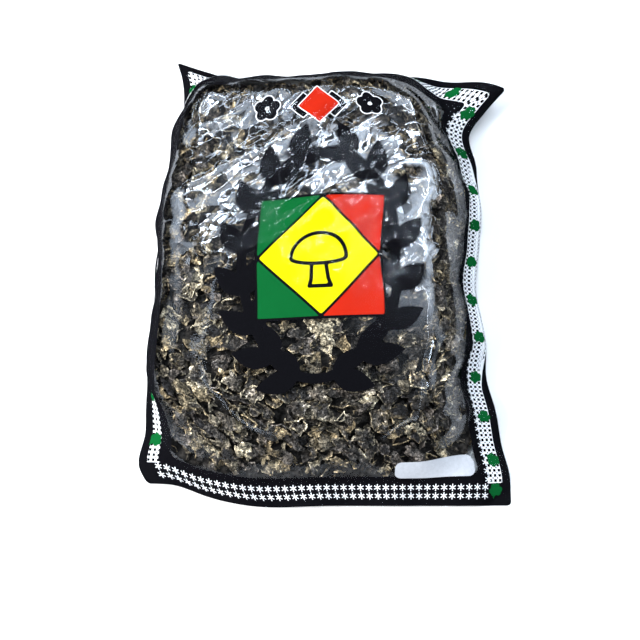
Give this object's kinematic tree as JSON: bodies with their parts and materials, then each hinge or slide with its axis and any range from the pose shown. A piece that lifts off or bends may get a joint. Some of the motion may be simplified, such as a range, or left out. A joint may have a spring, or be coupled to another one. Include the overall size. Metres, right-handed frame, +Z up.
{
  "type": "bag of dried wood ear mushrooms",
  "caption": "Sealed clear film bag, pillow-shaped, printed with a checked border, packed full of curled dried wood ear mushrooms; lies on its back.",
  "frame": {"origin": "centre of the bag's box, on the surface it lies on", "axes": "+X across the bag, +Y along it towards its top end, +Z up through its front panel"},
  "size_m": [0.3618, 0.4397, 0.0797],
  "materials": {
    "clear_film": "clear glossy film, creased, with a printed border and panel",
    "dried_mushroom_tan": "matt, dry and wrinkled",
    "dried_mushroom_dark": "dull satin, dry and wrinkled"
  },
  "bodies": {
    "root": {"film_front": "clear_film", "film_back": "clear_film", "mushroom_01": "dried_mushroom_tan", "mushroom_02": "dried_mushroom_tan", "mushroom_03": "dried_mushroom_tan", "mushroom_04": "dried_mushroom_tan", "mushroom_05": "dried_mushroom_tan", "mushroom_06": "dried_mushroom_dark", "mushroom_07": "dried_mushroom_dark", "mushroom_08": "dried_mushroom_tan", "mushroom_09": "dried_mushroom_tan", "mushroom_10": "dried_mushroom_tan", "mushroom_11": "dried_mushroom_tan", "mushroom_12": "dried_mushroom_tan", "mushroom_13": "dried_mushroom_tan", "mushroom_14": "dried_mushroom_dark", "mushroom_15": "dried_mushroom_tan", "mushroom_16": "dried_mushroom_dark", "mushroom_17": "dried_mushroom_tan", "mushroom_18": "dried_mushroom_tan", "mushroom_19": "dried_mushroom_tan", "mushroom_20": "dried_mushroom_dark", "mushroom_21": "dried_mushroom_dark", "mushroom_22": "dried_mushroom_tan", "mushroom_23": "dried_mushroom_dark", "mushroom_24": "dried_mushroom_dark", "mushroom_25": "dried_mushroom_tan", "mushroom_26": "dried_mushroom_tan", "mushroom_27": "dried_mushroom_dark", "mushroom_28": "dried_mushroom_tan", "mushroom_29": "dried_mushroom_dark", "mushroom_30": "dried_mushroom_tan", "mushroom_31": "dried_mushroom_dark", "mushroom_32": "dried_mushroom_dark", "mushroom_33": "dried_mushroom_tan", "mushroom_34": "dried_mushroom_dark", "mushroom_35": "dried_mushroom_tan", "mushroom_36": "dried_mushroom_dark", "mushroom_37": "dried_mushroom_tan", "mushroom_38": "dried_mushroom_tan", "mushroom_39": "dried_mushroom_tan", "mushroom_40": "dried_mushroom_tan", "mushroom_41": "dried_mushroom_tan", "mushroom_42": "dried_mushroom_tan", "mushroom_43": "dried_mushroom_tan", "mushroom_44": "dried_mushroom_tan", "mushroom_45": "dried_mushroom_tan", "mushroom_46": "dried_mushroom_tan", "mushroom_47": "dried_mushroom_dark", "mushroom_48": "dried_mushroom_tan", "mushroom_bulk": "dried_mushroom_dark"}
  },
  "joints": []
}
